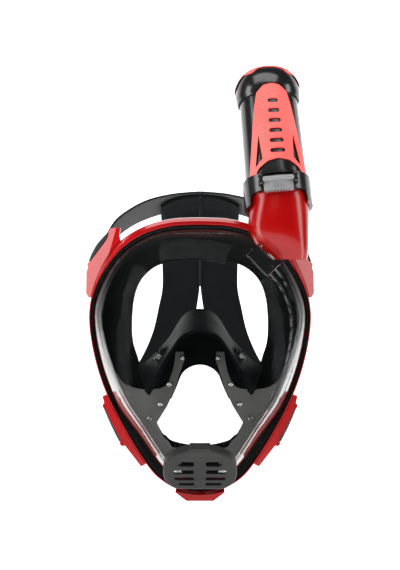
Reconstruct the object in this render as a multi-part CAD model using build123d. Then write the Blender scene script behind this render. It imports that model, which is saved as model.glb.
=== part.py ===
"""Full face snorkelling mask with a side-mounted dry-top snorkel.

Units are millimetres. +Z is up, +Y points from the visor towards the wearer's head, +X is the
side that carries the snorkel. The origin is the middle of the face opening, in the plane of the
silicone seal. Every sub-part is written to parts/NODE.step.
"""
from build123d import *
from math import cos, hypot, pi, radians, sin, sqrt
import os

os.makedirs("parts", exist_ok=True)

# ---- Driving dimensions -----------------------------------------------------------------------
RIM_Y = -40.0          # front of the rim on the centre line
RIM_RADIUS = 231.0     # the rim sweeps back round this vertical cylinder
SEAL_RADIUS = 150.0    # the face seal lies on this vertical cylinder
LENS_WALL = 2.6        # visor thickness
LENS_AXIS_Y = 23.0     # vertical axis that the visor's front is turned about
LENS_APEX_Y = -303.0   # the visor's side walls run towards this point ahead of the mask
WALL = 2.4             # moulded plastic wall
SILICONE = 2.4         # silicone wall
WEB_THICK = 2.2        # strap thickness
TALL = 320.0           # longer than the mask, for cutting tools

# Half outline of the red frame seen from the front, crown to chin, as (x, z).
FRAME_HALF = [
    (0, 121.5), (27, 120), (50.5, 113.2), (69.8, 100.5), (83.6, 82), (92.2, 62), (96.3, 40),
    (94.6, 17), (88.5, -9), (79.4, -33), (66.7, -57), (51.4, -81.6), (37, -99.5), (20, -110), (0, -113),
]
# Half outline of the opening for the face, in the skirt.
FACE_HALF = [
    (0, 86.7), (22, 85.5), (38, 81.5), (51, 71), (58, 56), (60.6, 36), (60, 15), (55, -2),
    (49, -25), (38.5, -57), (27, -72), (0, -78),
]
# Half outline of the mouth opening, seen from the front.
MOUTH_HALF = [
    (0, -4.7), (9, -7), (15, -12), (18.7, -20.4), (23, -30.6), (28, -40.8), (37.4, -55.3),
    (32.3, -66.3), (24, -75), (0, -77),
]
# Half outlines of the nose pocket where it meets the visor and where it meets the nose.
POCKET_FRONT_HALF = [(0, 24.6), (8, 23.4), (15.3, 20), (22, 12), (29, 1), (36, -14), (42.5, -30)]
POCKET_REAR_HALF = [(0, 45), (12, 41.2), (20, 31), (26.5, 20.4), (35.3, 10.2), (46, 0.5), (56, -4)]
# Visor front, as its distance ahead of the seal plane at each height.
LENS_PROFILE = [
    (-125, -50), (-112, -60), (-80, -77), (-30, -86), (30, -83), (80, -70), (112, -52), (130, -38),
]

# Snorkel frame: z runs up the tube from the bottom of the collar, -y faces forward.
TUBE_BASE = (66.3, -40.0, 136.9)
TUBE_AXIS = (-0.077, 0.308, 0.948)
TUBE_R0, TUBE_R1 = 26.5, 25.0       # outer radius at the collar and at the cap
TUBE_TOP = 101.0
TUBE_BORE = 22.9
SOCKET_R, SOCKET_DEPTH = 22.1, 17.0  # the socket that slides over the elbow's spigot
COLLAR_R = 29.0
SPIGOT_R, SPIGOT_TOP = 21.8, 14.0
CAP_LIP, CAP_TOP = 89.0, 118.5
LATCH_PIVOT = (-31.4, 7.0)           # latch pins' axis in the snorkel frame, as (y, z)
PURGE_CENTRE, PURGE_TILT = (0.0, -72.0, -84.0), 30.0  # chin valve, facing forward and down

made = {}


# ---- Outline helpers --------------------------------------------------------------------------
def smooth(t):
    """Smooth step from 0 to 1."""
    t = max(0.0, min(1.0, t))
    return t * t * (3 - 2 * t)


def red_width(z):
    """Front width of the red frame: a broad brow that thins out down the sides."""
    return 1.3 + 5.0 * smooth((z - 45) / 70)


def bead_width(z):
    """Front width of the black bead between the frame and the visor, broad under the cheeks."""
    return 2.0 + 2.6 * smooth((-38 - z) / 40)


def inset(half, amount):
    """Move a half outline inwards, square to itself. amount is a number or a function of z."""
    ring = [(-x, z) for x, z in reversed(half[1:-1])]
    ring = half + ring
    moved = []
    for i, (x, z) in enumerate(half):
        before, after = ring[i - 1], ring[(i + 1) % len(ring)]
        tx, tz = after[0] - before[0], after[1] - before[1]
        size = hypot(tx, tz)
        a = amount(z) if callable(amount) else amount
        moved.append((x + a * tz / size, z - a * tx / size))
    return moved


def closed(half):
    """Whole outline from its right half."""
    return half + [(-x, z) for x, z in reversed(half[1:-1])]


def outline_face(half, y):
    """Face of a smooth closed outline, in the plane of that y."""
    edge = Spline(*[(x, y, z) for x, z in closed(half)], periodic=True)
    return Face(Wire([edge]))


def prism(half, y0=-120.0, y1=60.0):
    """Solid of an outline from y0 to y1."""
    return extrude(outline_face(half, y0), amount=y1 - y0, dir=(0, 1, 0))


def polygon_prism(points, y0=-120.0, y1=60.0):
    """Solid of a straight-sided outline given as (x, z)."""
    wire = Polyline(*[(x, y0, z) for x, z in points], close=True)
    return extrude(Face(Wire(wire.edges())), amount=y1 - y0, dir=(0, 1, 0))


def behind_rim(depth):
    """All space more than depth behind the rim's front surface."""
    return Pos(0, RIM_Y + RIM_RADIUS, 0) * Cylinder(RIM_RADIUS - depth, TALL)


def behind_seal(depth):
    """All space more than depth behind the seal surface."""
    return Pos(0, SEAL_RADIUS, 0) * Cylinder(SEAL_RADIUS - depth, TALL)


def rim_y(x):
    """Front of the rim at that distance from the centre line."""
    return RIM_Y + RIM_RADIUS - sqrt(RIM_RADIUS**2 - x**2)


def rim_ring(outer, inner, d0, d1):
    """Ring between two outlines, from depth d0 to d1 behind the rim's front."""
    ring = prism(outer) - prism(inner)
    return (ring & behind_rim(d0)) - behind_rim(d1)


def solid_only(shape):
    """The one solid in a boolean's result."""
    found = shape.solids()
    return max(found, key=lambda s: s.volume)


# ---- Visor ------------------------------------------------------------------------------------
frame_inner = inset(FRAME_HALF, red_width)
lens_foot = inset(FRAME_HALF, lambda z: red_width(z) + bead_width(z))


def barrel(shrink):
    """Body of revolution whose surface is the visor's domed front."""
    points = [(LENS_AXIS_Y - y - shrink, z) for z, y in LENS_PROFILE]
    curve = Spline(*[(r, 0, z) for r, z in points])
    low, high = points[0][1], points[-1][1]
    sides = Polyline((points[-1][0], 0, high), (0, 0, high), (0, 0, low), (points[0][0], 0, low))
    face = Face(Wire([curve] + sides.edges()))
    return Pos(0, LENS_AXIS_Y, 0) * revolve(face, Axis.Z, 360)


def visor_cone(foot):
    """Tapered block whose walls run from the rim towards a point ahead of the mask."""
    def at(y):
        points = []
        for x, z in foot:
            k = (y - LENS_APEX_Y) / (rim_y(x) - LENS_APEX_Y)
            points.append((x * k, z * k))
        return outline_face(points, y)
    return loft([at(-10.0), at(-96.0)], ruled=True) & prism(foot)


lens_outer = visor_cone(lens_foot) & barrel(0)
lens_inner = visor_cone(inset(lens_foot, LENS_WALL)) & barrel(LENS_WALL)

purge_plane = Plane(
    origin=PURGE_CENTRE, x_dir=(1, 0, 0),
    z_dir=(0, -cos(radians(PURGE_TILT)), -sin(radians(PURGE_TILT))),
)
DUCT_CENTRE, DUCT_FRONT, DUCT_TURN = (52.5, 85.0), -73.0, 45.0
DUCT_LONG, DUCT_SHORT = 25.5, 15.0


def duct_block(grow, y0, y1):
    """Block along the air duct, which follows the rim's corner, grown by that much on each side."""
    size = Box(DUCT_SHORT + 2 * grow, y1 - y0, DUCT_LONG + 2 * grow)
    place = Pos(DUCT_CENTRE[0], (y0 + y1) / 2, DUCT_CENTRE[1]) * Rot(0, -DUCT_TURN, 0)
    return place * size


def in_purge(shape):
    return purge_plane.location * shape


def make_lens():
    shell = (lens_outer - lens_inner) - behind_rim(8.0)
    lip = rim_ring(inset(lens_foot, -1.6), inset(lens_foot, 1.2), 5.0, 7.0)
    shell = shell + lip
    shell -= in_purge(Pos(0, 0, -4) * Cylinder(17.2, 40))
    return solid_only(shell - duct_block(0.05, -80, -20))


made["lens"] = make_lens()

# ---- Frame ------------------------------------------------------------------------------------
skirt_outer = inset(lens_foot, -1.5)
skirt_inner = inset(lens_foot, 1.5)


def make_front_frame():
    brow = rim_ring(FRAME_HALF, frame_inner, -2.0, 10.0)
    sleeve = rim_ring(FRAME_HALF, inset(FRAME_HALF, 1.2), 9.9, 16.0)
    return solid_only(brow + sleeve)


def make_rear_frame():
    ring = rim_ring(inset(FRAME_HALF, 1.4), skirt_outer, 10.3, 15.6)
    return solid_only(ring)


def make_chin_guard():
    """Short red bumper under the chin, hooked over the frame's lower edge."""
    front = [(-20.5, -108.5), (20.5, -108.5), (21, -111), (11.5, -118.2), (-11.5, -118.2), (-21, -111)]
    block = polygon_prism(front, -50, -22)
    return solid_only(block - prism(inset(FRAME_HALF, -0.05)))


made["front_frame"] = make_front_frame()
made["rear_frame"] = make_rear_frame()
made["chin_guard"] = make_chin_guard()


# ---- Silicone skirt, nose pocket and mouth plate -------------------------------------------------
def make_skirt():
    body = (prism(skirt_outer) & behind_rim(8.0)) - behind_seal(0)
    cavity = prism(skirt_inner) - behind_seal(-3.0)
    bead = rim_ring(frame_inner, lens_foot, 0.0, 9.95)
    bead -= rim_ring(inset(lens_foot, -1.6), inset(lens_foot, 1.2), 5.0, 7.0)
    return solid_only((body - cavity - prism(FACE_HALF)) + bead)


def bell_section(half, thickness, y):
    """Closed cross-section of the pocket's wall: a bell curve and its inward copy."""
    inner = [(x * (1 - thickness / 34), z - thickness) for x, z in half]
    outer_line = [(-x, z) for x, z in reversed(half[1:])] + half
    inner_line = [(-x, z) for x, z in reversed(inner[1:])] + inner
    top = Spline(*[(x, y, z) for x, z in outer_line])
    low = Spline(*[(x, y, z) for x, z in reversed(inner_line)])
    right = Line(top @ 1, low @ 0)
    left = Line(low @ 1, top @ 0)
    return Face(Wire([top, right, low, left]))


VALVE_CENTRE = (33.0, -40.0, 5.0)    # right inhale valve, in the pocket's cheek
VALVE_NORMAL = (0.76, 0.0, 0.65)     # points into the eye space
VALVE_HOLE_R = 6.6


def valve_plane(side):
    nx, ny, nz = VALVE_NORMAL
    x, y, z = VALVE_CENTRE
    return Plane(origin=(side * x, y, z), x_dir=(0, 1, 0), z_dir=(side * nx, ny, nz))


FRONT_WALL_AT = 0.24          # how far along from its rear edge to its front edge the wall meets it
FRONT_WALL_DEPTH = 15.05      # the wall lies against the back of the mouth plate
PEG_R = 1.2
PEG_PLACES = [(15.5, 1.7), (26.3, -21.3), (34.0, -38.7), (43.6, -51.2)]


def make_nose_pocket():
    rear_y, front_y = -3.2, -92.0
    wall = loft([
        bell_section(POCKET_REAR_HALF, SILICONE, rear_y),
        bell_section(POCKET_FRONT_HALF, SILICONE, front_y),
    ], ruled=True)
    wall = wall & lens_inner
    front_half = [
        (xr + FRONT_WALL_AT * (xf - xr), zr + FRONT_WALL_AT * (zf - zr))
        for (xr, zr), (xf, zf) in zip(POCKET_REAR_HALF, POCKET_FRONT_HALF)
    ]
    line = [(-x, z) for x, z in reversed(front_half[1:])] + front_half
    top = Spline(*[(x, -60, z) for x, z in line])
    ends = Polyline(top @ 1, (48, -60, -34), (-48, -60, -34), top @ 0)
    front = extrude(Face(Wire([top] + ends.edges())), amount=80, dir=(0, 1, 0))
    front = (front & behind_rim(FRONT_WALL_DEPTH)) - behind_rim(FRONT_WALL_DEPTH + 2.0)
    front = (front & prism(inset(skirt_inner, 0.6))) - prism(MOUTH_HALF)
    pocket = wall + front
    for side in (-1, 1):
        pocket -= valve_plane(side).location * Cylinder(VALVE_HOLE_R, 16)
        for x, z in PEG_PLACES:
            pocket -= Pos(side * x, rim_y(x) + FRONT_WALL_DEPTH, z) * Rot(90, 0, 0) * Cylinder(PEG_R, 9)
    return solid_only(pocket - behind_seal(-3.3))


PLATE_DEPTH, PLATE_THICK = 13.0, 2.0
# Right half of the smoked mouth plate: up the outside, over the strip's tip, down the opening.
PLATE_OUTER = [(0, -101), (24, -100), (45, -88), (70, -60), (86, -34), (96, 0), (98, 24), (84, 24),
               (81.4, 12), (78.1, 1), (73.6, -11), (67, -21), (58.2, -25), (47.7, -26.5), (35.8, -25.5),
               (31, -24), (26.5, -18), (23.5, -10), (21.6, 0), (21, 6.5)]
PLATE_INNER = [(14.5, 6.5), (12.8, 1), (15, -5), (18, -14), (21, -24), (28, -40), (37.4, -55.3),
               (32.3, -66.3), (27, -71.4), (24, -76), (0, -78)]


def plate_half(side):
    points = [(side * x, z) for x, z in PLATE_OUTER + PLATE_INNER]
    return polygon_prism(points)


def make_mouth_plate():
    both = plate_half(1) + plate_half(-1)
    both = both & prism(inset(skirt_inner, 0.6))
    plate = (both & behind_rim(PLATE_DEPTH)) - behind_rim(PLATE_DEPTH + PLATE_THICK)
    for side in (-1, 1):
        for x, z in PEG_PLACES:
            plate -= Pos(side * x, rim_y(x) + PLATE_DEPTH, z) * Rot(90, 0, 0) * Cylinder(PEG_R, 14)
    return solid_only(plate)


def make_pegs():
    pegs = []
    for side in (-1, 1):
        for x, z in PEG_PLACES:
            shank = Pos(0, 0, -1.2) * Cylinder(PEG_R, PLATE_THICK + 4.4)
            head = Pos(0, 0, PLATE_THICK / 2 + 0.5) * (Sphere(2.7) & Pos(0, 0, 1.2) * Box(6, 6, 2.4))
            foot = Pos(0, 0, -PLATE_THICK / 2 - 2.9) * Cylinder(2.0, 1.0)
            peg = shank + head + foot
            pegs.append(Pos(side * x, rim_y(x) + PLATE_DEPTH + 1.0, z) * Rot(90, 0, 0) * peg)
    return Compound(children=pegs)


made["skirt"] = make_skirt()
made["nose_pocket"] = make_nose_pocket()
made["mouth_plate"] = make_mouth_plate()
made["pocket_pegs"] = make_pegs()


# ---- Inhale valves ------------------------------------------------------------------------------
def spoked_ring(outer, inner, z0, z1, hub):
    """Ring with a cross of spokes and a hub, from z0 to z1."""
    height, middle = z1 - z0, (z0 + z1) / 2
    ring = Pos(0, 0, middle) * (Cylinder(outer, height) - Cylinder(inner, height))
    cross = Box(2 * inner + 0.4, 1.4, 1.6) + Box(1.4, 2 * inner + 0.4, 1.6) + Cylinder(hub, 1.6)
    return ring + Pos(0, 0, z1 - 0.8) * cross


def make_inhale_seat(side):
    barrel_part = spoked_ring(VALVE_HOLE_R - 0.1, VALVE_HOLE_R - 1.4, -3.4, 2.6, 1.6)
    flange = Pos(0, 0, 2.1) * (Cylinder(VALVE_HOLE_R + 2.4, 1.0) - Cylinder(VALVE_HOLE_R - 1.4, 1.0))
    return valve_plane(side).location * solid_only(barrel_part + flange)


def make_inhale_flap(side):
    disc = Pos(0, 0, 2.9 + 0.4) * Cylinder(VALVE_HOLE_R - 0.2, 0.8)
    button = Pos(0, 0, 2.9 + 0.8 + 0.3) * Cylinder(1.3, 0.9)
    return valve_plane(side).location * solid_only(disc + button)


for side, word in ((-1, "left"), (1, "right")):
    made[f"inhale_seat_{word}"] = make_inhale_seat(side)
    made[f"inhale_flap_{word}"] = make_inhale_flap(side)

# ---- Chin valve ---------------------------------------------------------------------------------
PURGE_R = 17.0
COVER_HALF = [(0, 19.3), (8, 19), (17, 16.4), (23.6, 12.4), (28.4, 6.6), (30.4, -1), (30, -8),
              (26.8, -15.2), (21, -19.6), (11, -20.6), (0, -20.8)]
COVER_TAB = (17.4, 5.6)      # width and height of the thumb tab on the cover's top edge
# Cover slots on the right of the centre rib: (inner x, outer x, middle y, height).
COVER_SLOTS = [(4.6, 18.2, 5.4, 4.8), (4.8, 22.0, -2.6, 3.8), (4.6, 21.4, -9.4, 3.0),
               (4.4, 18.0, -15.0, 2.6)]


def make_purge_seat():
    return in_purge(solid_only(spoked_ring(PURGE_R, PURGE_R - 3.0, -4.0, 1.6, 3.0)))


def make_purge_membrane():
    disc = Pos(0, 0, 2.4) * Cylinder(PURGE_R - 1.4, 1.0)
    knob = Pos(0, 0, 3.3) * Cylinder(2.4, 1.2)
    return in_purge(solid_only(disc + knob))


def flat_outline(half, z):
    """Face of a smooth closed outline in the local xy plane."""
    edge = Spline(*[(x, y, z) for x, y in closed(half)], periodic=True)
    return Face(Wire([edge]))


def make_purge_cover():
    body = extrude(flat_outline(COVER_HALF, -12), amount=20.4, dir=(0, 0, 1))
    tab = Pos(0, 17.6, 1.6) * Box(COVER_TAB[0], COVER_TAB[1], 12.8)
    tab = fillet(tab.edges().filter_by(Axis.Z), 1.4)
    body = fillet(body.edges().sort_by(Axis.Z)[-1], 1.6) + tab
    hollow = extrude(flat_outline(inset(COVER_HALF, WALL), -12), amount=18.0, dir=(0, 0, 1))
    cover = body - hollow
    for side in (-1, 1):
        for x0, x1, y, height in COVER_SLOTS:
            slot = SlotOverall(x1 - x0, height)
            cover -= Pos(side * (x0 + x1) / 2, y, 4) * extrude(slot, amount=8)
    seat_space = Pos(0, 0, -1.2) * Cylinder(PURGE_R + 0.1, 6.0)
    return solid_only(in_purge(cover - seat_space) - barrel(-0.1))


made["purge_seat"] = make_purge_seat()
made["purge_membrane"] = make_purge_membrane()
made["purge_cover"] = make_purge_cover()

# ---- Air duct and elbow -------------------------------------------------------------------------
snorkel = Plane(
    origin=TUBE_BASE, x_dir=(TUBE_AXIS[2], 0, -TUBE_AXIS[0]), z_dir=TUBE_AXIS,
)


def in_snorkel(shape):
    return snorkel.location * shape


def egg(plane, rx, ry, power=2.0):
    """Face of a rounded-square section on a plane."""
    points = []
    for i in range(16):
        a = 2 * pi * i / 16
        c, s = cos(a), sin(a)
        x = rx * abs(c) ** (2 / power) * (1 if c >= 0 else -1)
        y = ry * abs(s) ** (2 / power) * (1 if s >= 0 else -1)
        points.append((x, y))
    return plane * make_face(Spline(*points, periodic=True))


def elbow_loft(shrink, top, bottom):
    """Body of the elbow: round under the snorkel, egg-shaped over the rim's corner."""
    def low(x, y, z):
        return Plane(origin=(x, y, z), x_dir=(1, 0, 0), z_dir=(0, 0, 1))
    return loft([
        egg(snorkel.offset(top), 25.5 - shrink, 25.5 - shrink),
        egg(snorkel.offset(-9.5), 25.5 - shrink, 25.5 - shrink),
        egg(low(66.6, -45.5, 112), 25.6 - shrink, 23 - shrink, 2.2),
        egg(low(69.5, -46.0, 98), 22.5 - shrink, 20 - shrink, 2.4),
        egg(low(75.5, -46.0, bottom), 15.0 - shrink, 15 - shrink, 2.4),
    ])


def make_air_duct():
    shell = duct_block(0, DUCT_FRONT, -30) - duct_block(-1.8, DUCT_FRONT + 2.2, -29)
    shell = fillet(shell.faces().sort_by(Axis.Y)[0].edges(), 0.8)
    return solid_only(shell - barrel(1.25) - elbow_outer)


elbow_outer = elbow_loft(0, -0.3, 85.5)
frame_space = prism(inset(FRAME_HALF, -0.05)) & behind_rim(-2.1)


def make_elbow():
    body = elbow_outer + in_snorkel(Pos(0, -26.4, -1.2) * Box(16, 3.2, 1.5))
    body -= elbow_loft(WALL, 1.0, 88.0)
    body -= duct_block(-1.9, DUCT_FRONT + 2.3, -32)
    return solid_only(body - frame_space - barrel(-0.1))


made["elbow"] = make_elbow()
made["air_duct"] = make_air_duct()
gasket = (duct_block(0, -60, -30) - duct_block(-1.8, -61, -29)) & barrel(1.27)
made["duct_gasket"] = solid_only(gasket - barrel(LENS_WALL))


def ring_solid(outer, inner, z0, z1):
    """Plain ring from z0 to z1 on the local z axis."""
    ring = Cylinder(outer, z1 - z0) - Cylinder(inner, z1 - z0)
    return Pos(0, 0, (z0 + z1) / 2) * ring


O_RING_Z, O_RING_WIRE = 8.0, 1.2
groove = ring_solid(SPIGOT_R + 1, SPIGOT_R - 1.4, O_RING_Z - 1.3, O_RING_Z + 1.3)
spigot = ring_solid(SPIGOT_R, SPIGOT_R - 2.6, -0.25, SPIGOT_TOP) - groove
spigot += ring_solid(22.5, SPIGOT_R - 2.6, -4.0, -0.25)
made["spigot"] = in_snorkel(solid_only(spigot))
o_ring = Pos(0, 0, O_RING_Z) * Torus(SOCKET_R - 0.05 - O_RING_WIRE, O_RING_WIRE)
made["o_ring"] = in_snorkel(solid_only(o_ring))

# ---- Snorkel ------------------------------------------------------------------------------------
INLAY_TURN = 5.0       # the inlay faces slightly outwards
INLAY_HALF = [(0, 96.5), (7, 95), (13, 89), (15.8, 76), (18, 62), (20.6, 42), (22.2, 30),
              (23.6, 19), (24.0, 15.6)]
INLAY_ARCH = [(19.4, 15.6), (16.6, 20.2), (9, 25.2), (0, 26.8)]
INLAY_WINDOW = [(13.0, 28), (19.2, 21.6), (14.6, 51)]
INLAY_SLOTS = [(34 + 9.2 * i, 13.0 - 0.8 * i) for i in range(6)]   # middle height and width


def tube_cone(grow, z0=0.0, z1=TUBE_TOP):
    """Solid of the tube's outside, grown by that much, between two heights."""
    def radius(z):
        return TUBE_R0 + (TUBE_R1 - TUBE_R0) * z / TUBE_TOP + grow
    return Pos(0, 0, (z0 + z1) / 2) * Cone(radius(z0), radius(z1), z1 - z0)


def front_prism(points, curved=False):
    """Solid in front of the tube with a half outline (x, z), mirrored."""
    line = [(x, 0, z) for x, z in points] + [(-x, 0, z) for x, z in reversed(points[1:-1])]
    if curved:
        edges = [Spline(*line[: len(points)]), Spline(*(line[len(points) - 1:] + line[:1]))]
        face = Face(Wire(edges))
    else:
        face = Face(Wire(Polyline(*line, close=True).edges()))
    return extrude(face, amount=60, dir=(0, -1, 0))


def turned(shape):
    return Rot(0, 0, INLAY_TURN) * shape


def make_inlay():
    shell = tube_cone(1.7, 15.4, 99) - tube_cone(0.02, 15, 100)
    panel = shell & turned(front_prism(INLAY_HALF + [(0, 15.6)]))
    panel -= turned(front_prism(INLAY_ARCH[::-1] + [(19.4, 10), (0, 10)]))
    for side in (-1, 1):
        window = Polyline(*[(side * x, 0, z) for x, z in INLAY_WINDOW], close=True)
        panel -= turned(extrude(Face(Wire(window.edges())), amount=60, dir=(0, -1, 0)))
    for z, width in INLAY_SLOTS:
        slot = extrude(Plane.XZ * SlotOverall(width, 4.2), amount=60)
        panel -= turned(Pos(0, 0, z) * slot)
    return solid_only(panel)


def make_tube():
    tube = tube_cone(0) - Pos(0, 0, 60) * Cylinder(TUBE_BORE, 100)
    tube -= ring_solid(TUBE_BORE + 0.05, 0.01, SOCKET_DEPTH, TUBE_TOP + 1)
    tube -= Pos(0, 0, SOCKET_DEPTH / 2) * Cylinder(SOCKET_R, SOCKET_DEPTH + 1)
    return solid_only(tube)


CAP_PROFILE = [(26.9, CAP_LIP), (27.8, 94), (27.9, 99), (27.0, 105), (24.3, 111), (19, 115.6),
               (10, 118), (0, CAP_TOP)]


def cap_dome(grow, low=CAP_LIP):
    """Solid of the cap's outside, grown by that much."""
    points = [(r + grow if r else 0, 0, z + (grow if r < 12 else 0)) for r, z in CAP_PROFILE]
    curve = Spline(*points, tangents=((0.15, 0, 1), (-1, 0, 0)))
    sides = Polyline(points[-1], (0, 0, CAP_LIP), points[0])
    body = revolve(Face(Wire([curve] + sides.edges())), Axis.Z, 360)
    return body - Pos(0, 0, low - 50) * Cylinder(60, 100)


def make_cap():
    cap = cap_dome(0) - cap_dome(-1.6, CAP_LIP + 0.01) - Pos(0, 0, CAP_LIP) * Cylinder(25.6, 4)
    for angle in (45, 135, 225, 315):
        cap += Rot(0, 0, angle) * Pos(25.6, 0, 97) * Box(1.2, 3, 7)
    cap -= tube_cone(0.02, 80, TUBE_TOP)
    notch = turned(front_prism([(x + 0.5, z + 0.5) if x else (0, z + 0.5) for x, z in INLAY_HALF]))
    return solid_only(cap - notch)


TRIM_ARCH_R, TRIM_ARCH_Z = 34.0, 82.6


def make_cap_trim():
    """Red hood over the crown, cut to a crescent at the front."""
    shell = cap_dome(1.1, 102) - cap_dome(0.02, 101)
    front = Pos(0, -28, TRIM_ARCH_Z) * Rot(90, 0, 0) * Cylinder(TRIM_ARCH_R, 64)
    return solid_only(shell - front)


def make_divider():
    plate = Pos(0, 7, (18 + 93) / 2) * Box(60, 1.6, 93 - 18)
    return solid_only(plate & (Pos(0, 0, 60) * Cylinder(TUBE_BORE - 0.02, 100)))


GUIDE_R, FLOAT_R, FLOAT_Z0, FLOAT_Z1, FLOAT_TRAVEL = 22.8, 16.0, 98.2, 105.0, 4.0
SEAT_Z = FLOAT_Z1 + FLOAT_TRAVEL + 0.2


def make_float_guide():
    wall = ring_solid(GUIDE_R, GUIDE_R - 3.2, 95, TUBE_TOP)
    wall += ring_solid(GUIDE_R - 1.6, GUIDE_R - 3.2, TUBE_TOP, SEAT_Z + 2.4)
    top = ring_solid(GUIDE_R - 1.6, 9.0, SEAT_Z + 0.9, SEAT_Z + 2.4)
    cross = Pos(0, 0, 96.3) * (Box(2 * GUIDE_R - 2, 2, 2.4) + Box(2, 2 * GUIDE_R - 2, 2.4))
    pin = Pos(0, 0, (96 + SEAT_Z) / 2) * Cylinder(1.5, SEAT_Z - 96)
    return solid_only(wall + top + cross + pin)


def make_float():
    body = ring_solid(FLOAT_R, 1.9, FLOAT_Z0, FLOAT_Z1)
    return solid_only(fillet(body.edges().filter_by(GeomType.CIRCLE).sort_by(SortBy.RADIUS)[-2:], 1.5))


# ---- Collar and latch ---------------------------------------------------------------------------
LATCH_HALF_WIDTH, PIN_R = 12.4, 1.2
LATCH_IN, LATCH_OUT = 29.9, 32.3
PIVOT_Y, PIVOT_Z = LATCH_PIVOT


def x_rod(radius, x0, x1):
    """Rod along x on the latch's pivot line."""
    return Pos((x0 + x1) / 2, PIVOT_Y, PIVOT_Z) * Rot(0, 90, 0) * Cylinder(radius, x1 - x0)


def make_collar():
    ring = ring_solid(COLLAR_R, 25.9, -9.0, 15.2)
    ring = fillet(ring.edges().filter_by(GeomType.CIRCLE).sort_by(Axis.Z)[-1], 1.0)
    ring -= tube_cone(0.02, 0, 20)
    saddle = Pos(0, -30, -9.2) * Rot(90, 0, 0) * (Cylinder(24, 40) & Box(60, 18.0, 60))
    ring -= saddle
    for side in (-1, 1):
        ear = Pos(side * 14.7, -29.6, PIVOT_Z) * Box(3.4, 9.0, 9.0)
        ear = fillet(ear.edges().filter_by(Axis.X), 2.0)
        ring += ear - tube_cone(0.02, 0, 20)
    ring += (ring_solid(32.0, 28.5, 11.9, 13.6) & Pos(0, -30, 12) * Box(32.8, 24, 8))
    ring -= x_rod(PIN_R, -20, 20)
    recess = ring_solid(LATCH_IN, 28.0, 2.0, 11.8) & Pos(0, -30, 8) * Box(26.0, 20, 24)
    return solid_only(ring - recess)


def make_latch_pins():
    pins = [x_rod(PIN_R - 0.02, side * 13.6 - 3.2, side * 13.6 + 3.2) for side in (-1, 1)]
    return Compound(children=[in_snorkel(pin) for pin in pins])


def make_latch_lever():
    plate = ring_solid(LATCH_OUT, LATCH_IN, -3.4, 9.4)
    plate = plate & Pos(0, -30, 0) * Box(2 * LATCH_HALF_WIDTH, 24, 60)
    lever = plate + x_rod(2.3, -LATCH_HALF_WIDTH, LATCH_HALF_WIDTH)
    for i in range(7):
        lever += Pos(-4.2 + 1.4 * i, -LATCH_OUT + 0.1, 0.5) * Box(0.7, 1.2, 3.6)
    for i in range(9):
        lever += Pos(-10 + 2.5 * i, -30.4, -4.0) * Box(1.3, 1.6, 1.4)
    lever -= x_rod(PIN_R + 0.06, -20, 20)
    return solid_only(lever)


made["collar"] = in_snorkel(make_collar())
made["latch_pins"] = make_latch_pins()
made["latch_lever"] = in_snorkel(make_latch_lever())
made["snorkel_tube"] = in_snorkel(make_tube())
made["tube_divider"] = in_snorkel(make_divider())
made["tube_inlay"] = in_snorkel(make_inlay())
made["cap"] = in_snorkel(make_cap())
made["cap_trim"] = in_snorkel(make_cap_trim())
made["float_guide"] = in_snorkel(make_float_guide())
made["float_gasket"] = in_snorkel(ring_solid(13.0, 9.0, SEAT_Z, SEAT_Z + 0.9))
made["float"] = in_snorkel(make_float())

# ---- Strap lugs, clips and webbing --------------------------------------------------------------
BAR_R = 2.0
elbow_space = elbow_loft(-0.05, -0.3, 85.4)
# Ends of the bars that the straps loop round, on the right side: lower end, then upper end.
UPPER_BAR = ((95.2, -12.0, 81.5), (76.2, -17.5, 109.2))
LOWER_BAR = ((66.2, -20.0, -71.6), (81.4, -15.0, -40.0))
LUG_HALF = [(90, 53), (96.6, 53.4), (98.8, 57), (98.6, 75), (96.2, 82.5), (90, 90.5), (83, 99.5),
            (79.6, 104), (77, 112.8), (68.2, 113.2), (69, 107), (68.2, 102), (66, 96), (80, 72)]
CLIP_HALF = [(80, -30), (84, -31.5), (81.6, -41), (76.8, -52), (71.5, -62), (65.6, -72), (57.6, -82),
             (50.4, -91), (46.5, -89), (60, -68), (74, -42)]


# Ridge between the lug's two facets, as (x, z), and how far the outer facet leans back from it.
LUG_RIDGE, FACET_LEAN = ((91.3, 54.0), (76.5, 97.5)), 14.0


def facet_cut():
    """Space in front of the lug's outer facet."""
    (x0, z0), (x1, z1) = LUG_RIDGE
    low, high = Vector(x0, rim_y(x0) - 1, z0), Vector(x1, rim_y(x1) - 1, z1)
    ridge = (high - low).normalized()
    front = Vector((x0 + x1) / 2, -RIM_RADIUS, 0).normalized()
    front = (front - ridge * front.dot(ridge)).normalized()
    outward = ridge.cross(front)
    lean = radians(FACET_LEAN)
    plane = Plane(origin=low, x_dir=ridge, z_dir=front * cos(lean) + outward * sin(lean))
    return plane.location * Pos(0, 0, 10) * Box(150, 60, 20)


def between(a, b, radius, extra=0.0):
    """Rod from a to b, longer by extra at both ends."""
    a, b = Vector(*a), Vector(*b)
    along = (b - a).normalized()
    start = a - along * extra
    plane = Plane(origin=start, z_dir=along)
    return extrude(plane * Circle(radius), amount=(b - a).length + 2 * extra)


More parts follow.
